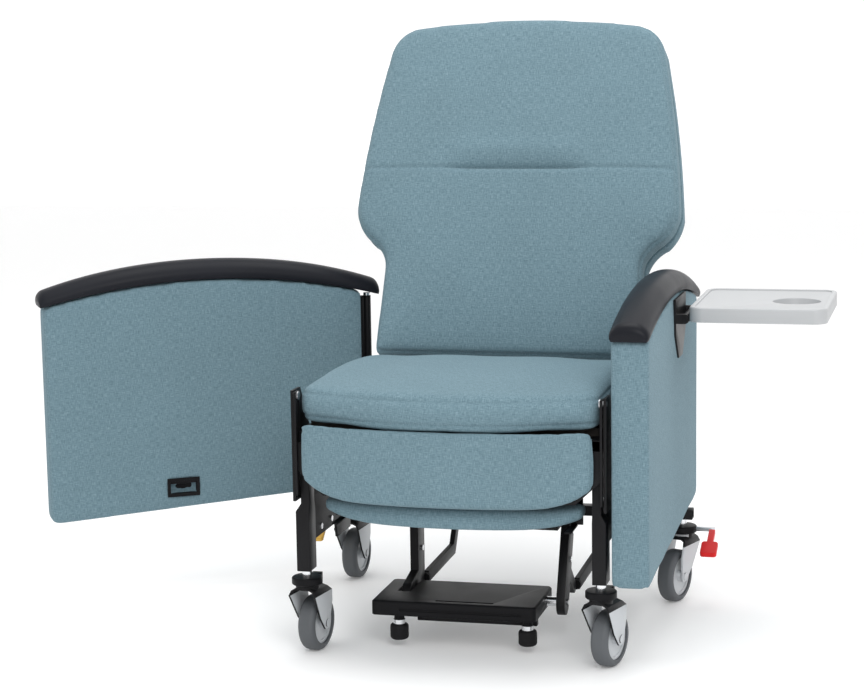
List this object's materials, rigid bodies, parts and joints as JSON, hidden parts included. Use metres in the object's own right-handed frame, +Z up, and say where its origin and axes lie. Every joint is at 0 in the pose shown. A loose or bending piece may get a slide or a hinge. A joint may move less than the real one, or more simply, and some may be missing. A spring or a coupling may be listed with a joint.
{
  "type": "clinical recliner",
  "caption": "Reclining treatment chair on casters with swing-away arms, fold-down side table, leg rest and folding footplate.",
  "frame": {"origin": "middle of the base of the chair's bounding box, on the floor", "axes": "+X to the sitter's left, towards the side table; +Y to the rear of the chair; +Z up; the seat faces -Y"},
  "size_m": [1.5516, 0.886, 1.1346],
  "materials": {
    "upholstery": "blue-grey linen-look upholstery",
    "cap_plastic": "charcoal moulded plastic",
    "black_plastic": "black plastic",
    "frame_black": "black powder coat",
    "chrome": "polished chrome",
    "zinc": "zinc-plated steel",
    "table_grey": "light grey moulded plastic",
    "tyre_grey": "grey soft tread",
    "hub_grey": "pale grey plastic",
    "rubber_black": "black rubber",
    "board": "dark stained plywood",
    "pedal_red": "red plastic",
    "pedal_yellow": "yellow plastic"
  },
  "bodies": {
    "chassis": {"front_legs": "frame_black", "seat_frame_tubes": "frame_black", "side_gussets": "frame_black", "rear_frame_tubes": "frame_black", "arm_hinge_pins": "chrome", "seat_deck": "board", "seat_cushion": "upholstery", "side_plates": "frame_black", "frame_bolts": "chrome", "pivot_bolts": "zinc", "caster_stems": "chrome", "caster_heads": "black_plastic", "gas_spring_cylinder": "frame_black", "arm_strike_studs": "zinc", "stop_bars": "frame_black", "stop_buffers": "rubber_black"},
    "backrest": {"back_cushion": "upholstery", "back_shell": "upholstery", "back_frame": "frame_black", "back_brackets": "frame_black"},
    "spring_rod": {"gas_spring_rod": "zinc"},
    "left_arm": {"left_arm_panel": "upholstery", "left_arm_cap": "cap_plastic", "left_arm_hinge": "frame_black", "left_arm_latch_cup": "black_plastic"},
    "right_arm": {"right_arm_panel": "upholstery", "right_arm_cap": "cap_plastic", "right_arm_hinge": "frame_black", "right_arm_latch_cup": "black_plastic", "table_bracket": "frame_black"},
    "side_table": {"side_table_tray": "table_grey", "side_table_leaf": "frame_black"},
    "leg_rest": {"leg_rest_pad": "upholstery", "leg_rest_apron": "upholstery", "leg_rest_carrier": "frame_black", "leg_rest_deck": "frame_black", "footplate_levers": "frame_black", "leg_rest_clips": "black_plastic", "leg_rest_bolts": "chrome"},
    "footrest": {"footplate": "black_plastic", "footplate_pins": "chrome", "footplate_bar": "frame_black", "footplate_collars": "chrome", "footplate_feet": "rubber_black"},
    "left_pedal": {"pedal_arm_left": "zinc", "pedal_pad_left": "pedal_yellow"},
    "right_pedal": {"pedal_arm_right": "zinc", "pedal_pad_right": "pedal_red"},
    "fork_front_left": {"caster_fork_front_left": "hub_grey"},
    "wheel_front_left": {"caster_hub_front_left": "hub_grey", "caster_tyre_front_left": "tyre_grey"},
    "fork_front_right": {"caster_fork_front_right": "hub_grey"},
    "wheel_front_right": {"caster_hub_front_right": "hub_grey", "caster_tyre_front_right": "tyre_grey"},
    "fork_rear_left": {"caster_fork_rear_left": "hub_grey"},
    "wheel_rear_left": {"caster_hub_rear_left": "hub_grey", "caster_tyre_rear_left": "tyre_grey"},
    "fork_rear_right": {"caster_fork_rear_right": "hub_grey"},
    "wheel_rear_right": {"caster_hub_rear_right": "hub_grey", "caster_tyre_rear_right": "tyre_grey"}
  },
  "joints": [
    {"name": "left_arm_swing", "type": "hinge", "parent": "chassis", "child": "left_arm", "pos_m": [-0.18716, 0.26861, 0.4], "axis": [0, 0, 1], "range_deg": [-37, 58]},
    {"name": "right_arm_swing", "type": "hinge", "parent": "chassis", "child": "right_arm", "pos_m": [0.46284, 0.26861, 0.4], "axis": [0, 0, 1], "range_deg": [0, 95]},
    {"name": "side_table_fold", "type": "hinge", "parent": "right_arm", "child": "side_table", "pos_m": [0.51784, -0.03239, 0.59], "axis": [0, 1, 0], "range_deg": [0, 90]},
    {"name": "back_recline", "type": "hinge", "parent": "chassis", "child": "backrest", "pos_m": [0.13784, 0.14821, 0.43807], "axis": [-1, 0, 0], "range_deg": [0, 50]},
    {"name": "gas_spring_stroke", "type": "slide", "parent": "chassis", "child": "spring_rod", "axis": [0, -1, 0], "range_m": [0, 0.0769]},
    {"name": "leg_rest_lift", "type": "hinge", "parent": "chassis", "child": "leg_rest", "pos_m": [0.13784, -0.37339, 0.479], "axis": [-1, 0, 0], "range_deg": [0, 80]},
    {"name": "footplate_fold", "type": "hinge", "parent": "leg_rest", "child": "footrest", "pos_m": [0.12584, -0.19839, 0.077], "axis": [-1, 0, 0], "range_deg": [0, 85]},
    {"name": "left_pedal_press", "type": "hinge", "parent": "chassis", "child": "left_pedal", "pos_m": [-0.23316, 0.16661, 0.138], "axis": [1, 0, 0], "range_deg": [-7, 7]},
    {"name": "right_pedal_press", "type": "hinge", "parent": "chassis", "child": "right_pedal", "pos_m": [0.50884, 0.16661, 0.138], "axis": [1, 0, 0], "range_deg": [-7, 7]},
    {"name": "swivel_front_left", "type": "hinge", "parent": "chassis", "child": "fork_front_left", "pos_m": [-0.13116, -0.35639, 0.119], "axis": [0, 0, 1], "continuous": true},
    {"name": "roll_front_left", "type": "hinge", "parent": "fork_front_left", "child": "wheel_front_left", "pos_m": [-0.12643, -0.32272, 0.051], "axis": [0.9903, -0.1392, 0], "continuous": true},
    {"name": "swivel_front_right", "type": "hinge", "parent": "chassis", "child": "fork_front_right", "pos_m": [0.40684, -0.35639, 0.119], "axis": [0, 0, 1], "continuous": true},
    {"name": "roll_front_right", "type": "hinge", "parent": "fork_front_right", "child": "wheel_front_right", "pos_m": [0.41621, -0.32371, 0.051], "axis": [0.9613, -0.2756, 0], "continuous": true},
    {"name": "swivel_rear_left", "type": "hinge", "parent": "chassis", "child": "fork_rear_left", "pos_m": [-0.20316, 0.16661, 0.119], "axis": [0, 0, 1], "continuous": true},
    {"name": "roll_rear_left", "type": "hinge", "parent": "fork_rear_left", "child": "wheel_rear_left", "pos_m": [-0.20079, 0.20053, 0.051], "axis": [0.9976, -0.0698, 0], "continuous": true},
    {"name": "swivel_rear_right", "type": "hinge", "parent": "chassis", "child": "fork_rear_right", "pos_m": [0.47884, 0.16661, 0.119], "axis": [0, 0, 1], "continuous": true},
    {"name": "roll_rear_right", "type": "hinge", "parent": "fork_rear_right", "child": "wheel_rear_right", "pos_m": [0.46833, 0.13428, 0.051], "axis": [-0.9511, 0.309, 0], "continuous": true}
  ],
  "couplings": [
    {"joint": "gas_spring_stroke", "follows": "back_recline", "m_per_rad": 0.087171}
  ]
}
